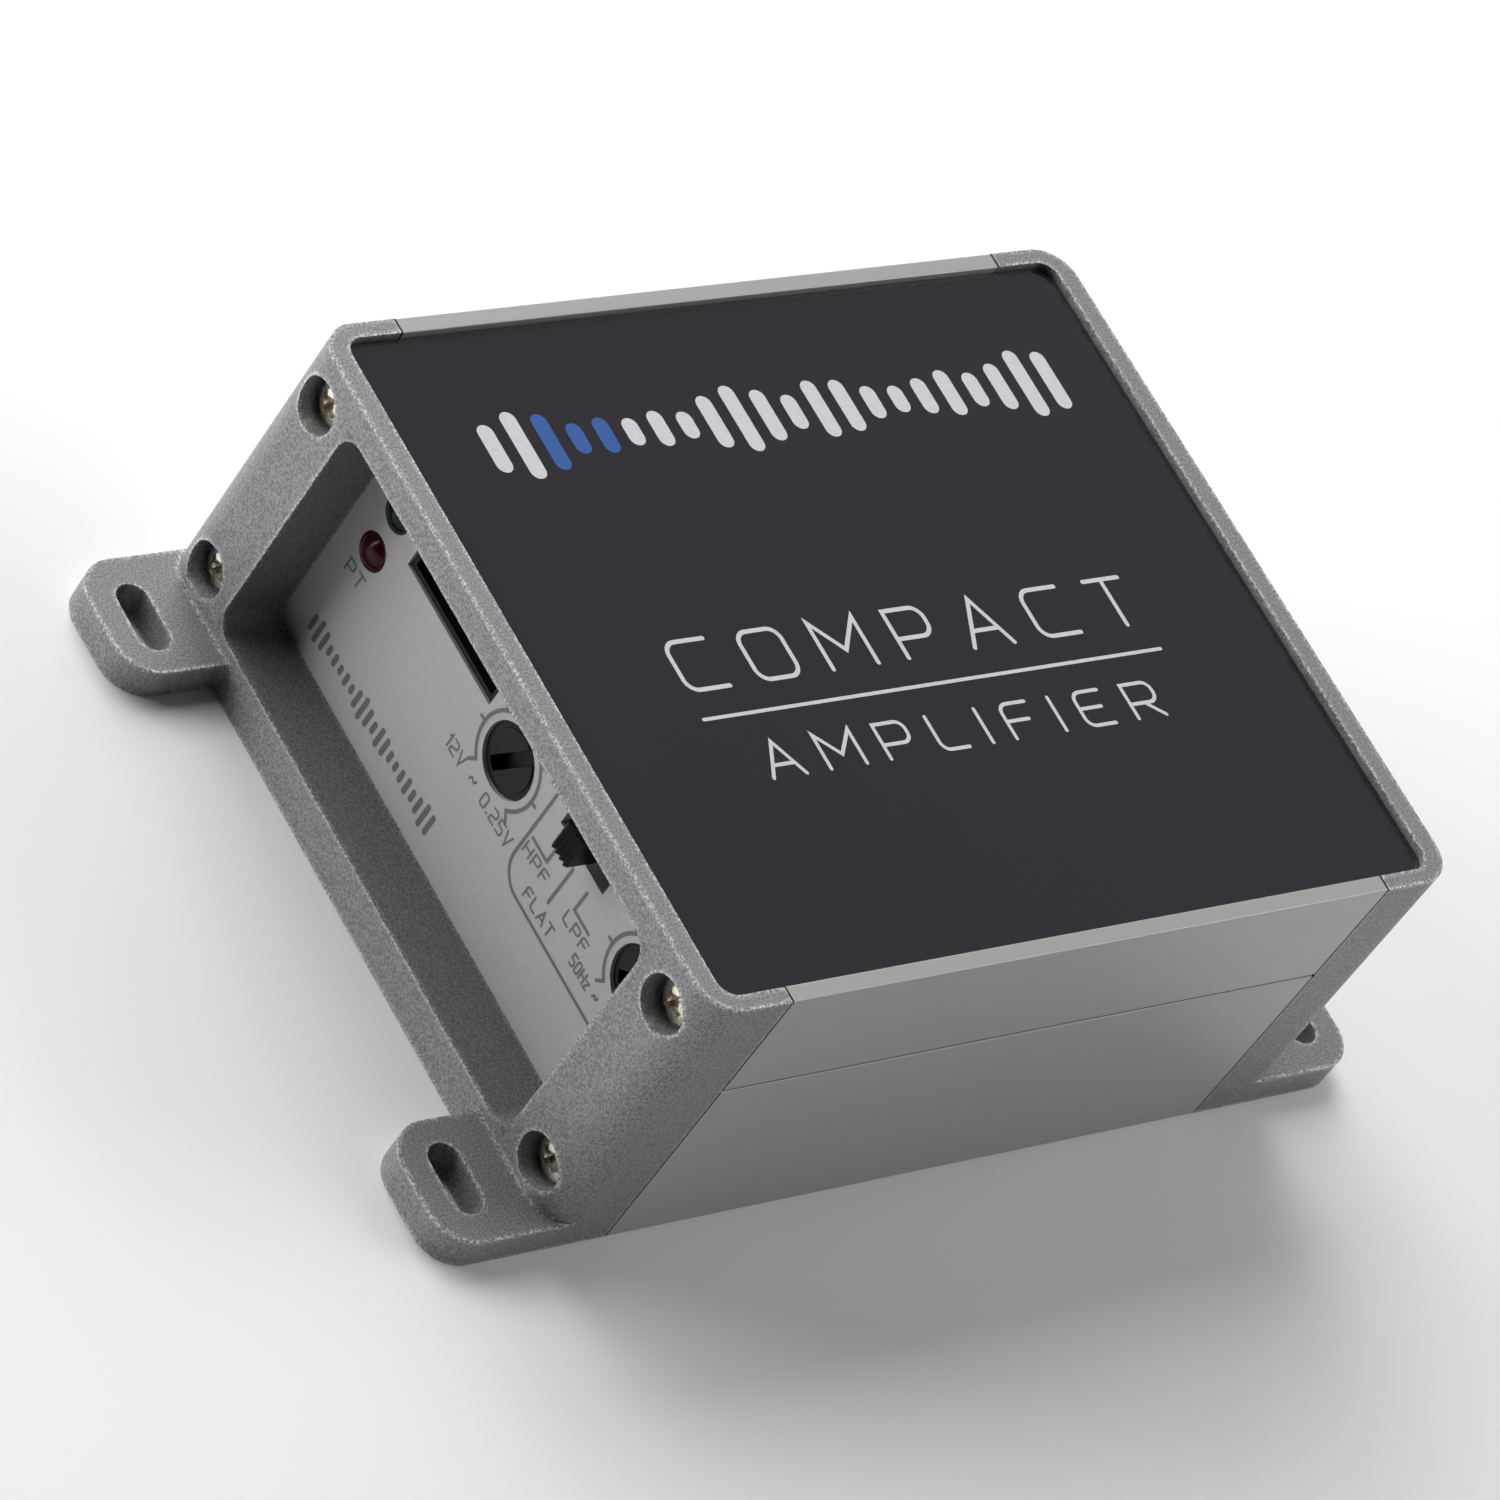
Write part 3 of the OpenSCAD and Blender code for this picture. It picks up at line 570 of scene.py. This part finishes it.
def printed(name, mesh, matrix, material, body="chassis"):
    """Turns a flat drawing into a piece that lies on a face and rides on a body."""
    bmesh.ops.transform(mesh, matrix=matrix, verts=mesh.verts)
    data = bpy.data.meshes.new(name)
    mesh.to_mesh(data)
    mesh.free()
    piece = bpy.data.objects.new(name, data)
    bpy.context.scene.collection.objects.link(piece)
    data.materials.append(material)
    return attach(piece, body)


# Letters as strokes in a box 1 high; each glyph is its width and its strokes.
GLYPHS = {
    "A": (1.0, [[(0, 0), (0.5, 1), (1, 0)], [(0.22, 0.34), (0.78, 0.34)]]),
    "C": (0.95, [[(0.95, 1), (0.15, 1), (0, 0.85), (0, 0.15), (0.15, 0), (0.95, 0)]]),
    "D": (0.95, [[(0, 0.5), (0, 1), (0.7, 1), (0.95, 0.75), (0.95, 0.25), (0.7, 0), (0, 0), (0, 0.5)]]),
    "E": (0.85, [[(0.85, 1), (0.15, 1), (0, 0.85), (0, 0.15), (0.15, 0), (0.85, 0)],
                 [(0, 0.52), (0.7, 0.52)]]),
    "F": (0.85, [[(0.85, 1), (0.15, 1), (0, 0.85), (0, 0)], [(0, 0.5), (0.7, 0.5)]]),
    "G": (0.95, [[(0.95, 1), (0.15, 1), (0, 0.85), (0, 0.15), (0.15, 0),
                  (0.95, 0), (0.95, 0.45), (0.5, 0.45)]]),
    "H": (0.9, [[(0, 0), (0, 1)], [(0.9, 0), (0.9, 1)], [(0, 0.5), (0.9, 0.5)]]),
    "I": (0.0, [[(0, 0), (0, 1)]]),
    "K": (0.85, [[(0, 0), (0, 1)], [(0.85, 1), (0.1, 0.5), (0.85, 0)]]),
    "L": (0.8, [[(0, 1), (0, 0.15), (0.15, 0), (0.8, 0)]]),
    "M": (1.1, [[(0, 0), (0, 1), (0.55, 0.35), (1.1, 1), (1.1, 0)]]),
    "N": (0.9, [[(0, 0), (0, 1), (0.9, 0), (0.9, 1)]]),
    "O": (1.0, [[(0.5, 1), (0.15, 1), (0, 0.85), (0, 0.15), (0.15, 0),
                 (0.85, 0), (1, 0.15), (1, 0.85), (0.85, 1), (0.5, 1)]]),
    "P": (0.9, [[(0, 0), (0, 1), (0.75, 1), (0.9, 0.85), (0.9, 0.55), (0.75, 0.4), (0.4, 0.4)],
                [(0.4, 0.4), (0, 0.4)]]),
    "R": (0.9, [[(0, 0), (0, 1), (0.75, 1), (0.9, 0.85), (0.9, 0.57), (0.75, 0.42), (0.4, 0.42)],
                [(0.4, 0.42), (0, 0.42)], [(0.45, 0.42), (0.9, 0)]]),
    "S": (0.9, [[(0.9, 1), (0.15, 1), (0, 0.85), (0, 0.65), (0.15, 0.5),
                 (0.75, 0.5), (0.9, 0.35), (0.9, 0.15), (0.75, 0), (0, 0)]]),
    "T": (0.9, [[(0, 1), (0.9, 1)], [(0.45, 1), (0.45, 0)]]),
    "U": (0.9, [[(0, 1), (0, 0.15), (0.15, 0), (0.75, 0), (0.9, 0.15), (0.9, 1)]]),
    "V": (0.9, [[(0, 1), (0.45, 0), (0.9, 1)]]),
    "W": (1.3, [[(0, 1), (0.33, 0), (0.65, 0.75), (0.97, 0), (1.3, 1)]]),
    "z": (0.6, [[(0, 0.65), (0.6, 0.65), (0, 0), (0.6, 0)]]),
    "0": (0.8, [[(0.4, 1), (0.15, 1), (0, 0.85), (0, 0.15), (0.15, 0),
                 (0.65, 0), (0.8, 0.15), (0.8, 0.85), (0.65, 1), (0.4, 1)]]),
    "1": (0.25, [[(0, 0.8), (0.25, 1), (0.25, 0)]]),
    "2": (0.8, [[(0, 1), (0.65, 1), (0.8, 0.85), (0.8, 0.6), (0.65, 0.48),
                 (0.1, 0.4), (0, 0.3), (0, 0), (0.8, 0)]]),
    "5": (0.8, [[(0.8, 1), (0, 1), (0, 0.55), (0.65, 0.55), (0.8, 0.4), (0.8, 0.15), (0.65, 0), (0, 0)]]),
    "~": (0.9, [[(0, 0.3), (0.12, 0.55), (0.32, 0.6), (0.58, 0.4), (0.78, 0.45), (0.9, 0.7)]]),
    ".": (0.12, [[(0, 0.05), (0.12, 0.05)]]),
    "+": (0.6, [[(0, 0.5), (0.6, 0.5)], [(0.3, 0.2), (0.3, 0.8)]]),
    "-": (0.6, [[(0, 0.5), (0.6, 0.5)]]),
    " ": (0.5, []),
}


def text_width(text, gap):
    """Width of a word 1 high, with gap between its letters."""
    return sum(GLYPHS[c][0] for c in text) + gap * (len(text) - 1)


def word(mesh, text, left, base, width, height, stroke, gap):
    """Adds a word in strokes, fitted to a box."""
    scale_x = width / text_width(text, gap)
    pen = left
    for letter in text:
        advance, strokes = GLYPHS[letter]
        for layer, points in enumerate(strokes):
            path = rounded([(pen + x * scale_x, base + y * height) for x, y in points])
            ribbon(mesh, path, stroke, layer)
        pen += (advance + gap) * scale_x


def words(mesh, rows, gap=LETTER_GAP):
    """Adds each row's word: text, left, base, width, height, stroke."""
    for text, left, base, width, height, stroke in rows:
        word(mesh, text, left, base, width, height, stroke, gap)


def level_bars(mesh, box, count, wanted):
    """Adds the wanted bars of a sound-level drawing that fills a box: left, right, base, height."""
    left, right, base, height = box
    pitch = (right - left) / count
    shortest, bar_share = 0.38, 0.56
    fast_wave, slow_wave, wave_start = 0.83, 0.31, 0.5
    for i in wanted:
        swell = abs(math.sin(fast_wave * i + wave_start) * math.cos(slow_wave * i))
        share = shortest + (1 - shortest) * swell
        centre = (left + (i + 0.5) * pitch, base + height / 2)
        patch(mesh, pill(centre, bar_share * pitch, height * share))


# Millimetres on each face; a box of bars is left, right, base, height
BAR_COUNT = 22
ACCENT_BARS = (2, 3, 4)
PLATE_BARS = (-45.5, 48.0, 25.2, 10.6)
PANEL_BARS = (-33.5, -1.5, 9.2, 4.0)
PLATE_RULE = ((-36.4, -10.7), (36.9, -10.7))


def print_top_plate():
    """A level drawing, one descriptive word each side of a thin rule."""
    pale_bars = [i for i in range(BAR_COUNT) if i not in ACCENT_BARS]
    bars = bmesh.new()
    level_bars(bars, PLATE_BARS, BAR_COUNT, pale_bars)
    printed("plate_level_bars", bars, top_face, white_ink)
    accent = bmesh.new()
    level_bars(accent, PLATE_BARS, BAR_COUNT, ACCENT_BARS)
    printed("plate_accent_bars", accent, top_face, blue_ink)
    lettering = bmesh.new()
    words(lettering, (
        ("COMPACT", -36.0, -6.6, 73.0, 7.0, 0.62),
        ("AMPLIFIER", -31.4, -20.0, 63.0, 5.0, 0.52),
    ), gap=WIDE_LETTER_GAP)
    ribbon(lettering, PLATE_RULE, LINE_WIDTH)
    printed("plate_words", lettering, top_face, white_ink)


def dial_marks(mesh, centre):
    """The arc round a dial, with a tick at each end and between."""
    arc_radius, arc_width = 5.95, 0.55
    end_angle, tick_radius, end_radius = 140, 6.8, 7.3
    ribbon(mesh, arc(centre, arc_radius, -end_angle, end_angle, steps=48), arc_width)
    for angle in (-end_angle, -90, -45, 0, 45, 90, end_angle):
        reach = end_radius if abs(angle) == end_angle else tick_radius
        a = math.radians(angle)
        ends = [(centre[0] + r * math.sin(a), centre[1] + r * math.cos(a)) for r in (arc_radius, reach)]
        ribbon(mesh, ends, LINE_WIDTH, layer=1)


def filter_border(mesh):
    """The line with one round corner that sets the filter controls apart."""
    side_x, top_z, foot_z, end_x, corner = 9.65, 40.0, 18.1, 36.0, 3.8
    bend = arc((side_x + corner, foot_z + corner), corner, 270, 180)
    ribbon(mesh, [(side_x, top_z)] + bend + [(end_x, foot_z)], LINE_WIDTH)


def switch_leaders(mesh, switch_x):
    """Lines from the three places of the mode switch towards their names."""
    top_z, turn_z, foot_z, step = 29.0, 25.75, 22.5, 3.5
    ribbon(mesh, [(switch_x, top_z), (switch_x, foot_z)], LINE_WIDTH)
    for side in (-1, 1):
        near, far = switch_x + side * step, switch_x + 2 * side * step
        ribbon(mesh, [(near, top_z), (near, turn_z), (far, turn_z)], LINE_WIDTH)


def print_control_panel():
    """Dial arcs, switch leaders, the border of the filter controls, and their words."""
    gain, crossover = middle("gain_pot_shaft") / MM, middle("crossover_pot_shaft") / MM
    switch_x = middle("mode_switch_slider").x / MM
    lamp_x = middle("protect_led").x / MM
    marks = bmesh.new()
    for dial in (gain, crossover):
        dial_marks(marks, (dial.x, dial.z))
    filter_border(marks)
    switch_leaders(marks, switch_x)
    words(marks, (
        ("HPF", switch_x - 7.2, 23.2, 5.2, 1.7, LEGEND_STROKE),
        ("FLAT", switch_x - 3.4, 19.4, 6.4, 1.7, LEGEND_STROKE),
        ("LPF", switch_x + 2.9, 23.2, 5.1, 1.7, LEGEND_STROKE),
        ("12V ~ 0.25V", gain.x - 8.6, 20.8, 15.6, 1.9, LEGEND_STROKE),
        ("50Hz ~ 250Hz", crossover.x - 9.1, 20.5, 12.6, 1.7, LEGEND_STROKE),
        ("PT", lamp_x - 2.0, 20.7, 3.6, 2.0, LEGEND_STROKE),
        ("PWR", lamp_x - 2.5, 37.3, 5.0, 2.0, LEGEND_STROKE),
    ))
    level_bars(marks, PANEL_BARS, BAR_COUNT, range(BAR_COUNT))
    printed("control_panel_print", marks, control_face, grey_ink)


def print_terminal_panel():
    """Names below the terminals, signs and channels above the speaker terminals, and the fuse's name."""
    below, above, channel, letter_h = 10.0, 32.6, 35.8, 2.0
    marks = bmesh.new()
    words(marks, (
        ("+12V", -33.1, below, 6.0, letter_h, LEGEND_STROKE),
        ("GND", -22.75, below, 4.5, letter_h, LEGEND_STROKE),
        ("REM", -13.15, below, 4.5, letter_h, LEGEND_STROKE),
        ("SPEAKERS", 12.0, below, 14.0, letter_h, LEGEND_STROKE),
        ("+", 6.5, above, 2.2, 2.4, LEGEND_STROKE),
        ("-", 14.1, above, 2.2, 2.4, LEGEND_STROKE),
        ("-", 21.7, above, 2.2, 2.4, LEGEND_STROKE),
        ("+", 29.3, above, 2.2, 2.4, LEGEND_STROKE),
        ("L", 10.8, channel, 1.3, letter_h, LEGEND_STROKE),
        ("R", 26.0, channel, 1.3, letter_h, LEGEND_STROKE),
        ("FUSE", -6.6, 36.4, 6.4, letter_h, LEGEND_STROKE),
    ))
    printed("terminal_panel_print", marks, terminal_face, grey_ink)


print_top_plate()
print_control_panel()
print_terminal_panel()


# ---- Floor, light and camera ----

NEUTRAL = (1.0, 1.0, 1.0)
COOL = (0.97, 0.985, 1.0)
WARM = (1.0, 0.985, 0.95)
BACKDROP_BRIGHTNESS = 0.9

# Angles in degrees; the clipping distances are in metres
CAMERA_AZIMUTH = 31.50
CAMERA_ELEVATION = 40.65
CAMERA_ROLL = 37.66
CAMERA_DISTANCE_MM = 943.17
CAMERA_AIM_MM = (2.02, -10.08, 23.5)
SENSOR_WIDTH_MM = 36.0
LENS_MM = 188.77
NEAREST_SEEN = 0.01
FARTHEST_SEEN = 20.0

# Name, azimuth, elevation, distance in metres, size in metres, power in watts, colour
LIGHTS = (
    ("left_overhead", -90, 50, 1.2, 0.8, 9.8, COOL),
    ("front_left_low", -45, 15, 1.2, 0.8, 11.7, NEUTRAL),
    ("left_low", -110, 15, 1.2, 0.8, 6.6, NEUTRAL),
    ("back_high", 162, 30, 1.2, 0.8, 4.9, NEUTRAL),
    ("back_right", 146, 33, 2.4, 1.6, 8.5, WARM),
    ("right_fill", 78, 20, 2.4, 1.6, 1.3, WARM),
    ("plate_card", -148, 41, 1.6, 1.4, 2.6, NEUTRAL),
)


def toward(azimuth, elevation):
    """Unit vector from the object; azimuth in degrees from the front towards the right, elevation up."""
    a, e = math.radians(azimuth), math.radians(elevation)
    return Vector((math.sin(a) * math.cos(e), -math.cos(a) * math.cos(e), math.sin(e)))


def area_light(name, azimuth, elevation, distance, size, power, color):
    """A square soft box that faces the object from that direction."""
    back = toward(azimuth, elevation)
    data = bpy.data.lights.new(name, "AREA")
    data.size = size
    data.energy = power
    data.color = color
    light = bpy.data.objects.new(name, data)
    light.location = back * distance
    light.rotation_mode = "QUATERNION"
    light.rotation_quaternion = (-back).to_track_quat("-Z", "Y")
    bpy.context.scene.collection.objects.link(light)


def floor():
    """A pale seamless floor at the base."""
    mesh = bmesh.new()
    reach, gap_mm, blotch_mm = 1.1, 0.05, 400.0
    level = cad_box[0].z - gap_mm * MM
    corners = ((-reach, -reach), (reach, -reach), (reach, reach), (-reach, reach))
    mesh.faces.new([mesh.verts.new((x, y, level)) for x, y in corners])
    data = bpy.data.meshes.new("floor")
    mesh.to_mesh(data)
    mesh.free()
    plane = bpy.data.objects.new("floor", data)
    bpy.context.scene.collection.objects.link(plane)
    material = new_material("floor_white", (0.93, 0.93, 0.93), 0.9)
    vary_color(material, noise(material, blotch_mm), (0.925, 0.925, 0.925), (0.935, 0.935, 0.935))
    data.materials.append(material)


def camera():
    """Long lens at the viewing angle; the camera is rolled about its axis."""
    back = toward(CAMERA_AZIMUTH, CAMERA_ELEVATION)
    data = bpy.data.cameras.new("camera")
    data.sensor_width = SENSOR_WIDTH_MM
    data.lens = LENS_MM
    data.clip_start = NEAREST_SEEN
    data.clip_end = FARTHEST_SEEN
    view = bpy.data.objects.new("camera", data)
    view.location = Vector(CAMERA_AIM_MM) * MM + back * (CAMERA_DISTANCE_MM * MM)
    level = (-back).to_track_quat("-Z", "Y").to_matrix()
    roll = Matrix.Rotation(math.radians(CAMERA_ROLL), 3, "Z")
    view.rotation_euler = (level @ roll).to_euler()
    bpy.context.scene.collection.objects.link(view)
    bpy.context.scene.camera = view


def world(brightness):
    """A pale backdrop beyond the floor; only the soft boxes light the object."""
    sky = bpy.data.worlds.new("studio")
    bpy.context.scene.world = sky
    sky.use_nodes = True
    background = sky.node_tree.nodes["Background"]
    background.inputs["Color"].default_value = (1, 1, 1, 1)
    background.inputs["Strength"].default_value = brightness
    sky.cycles_visibility.diffuse = False
    sky.cycles_visibility.glossy = False


floor()
world(BACKDROP_BRIGHTNESS)
for light in LIGHTS:
    area_light(*light)
camera()
bpy.context.scene.view_settings.view_transform = "Standard"
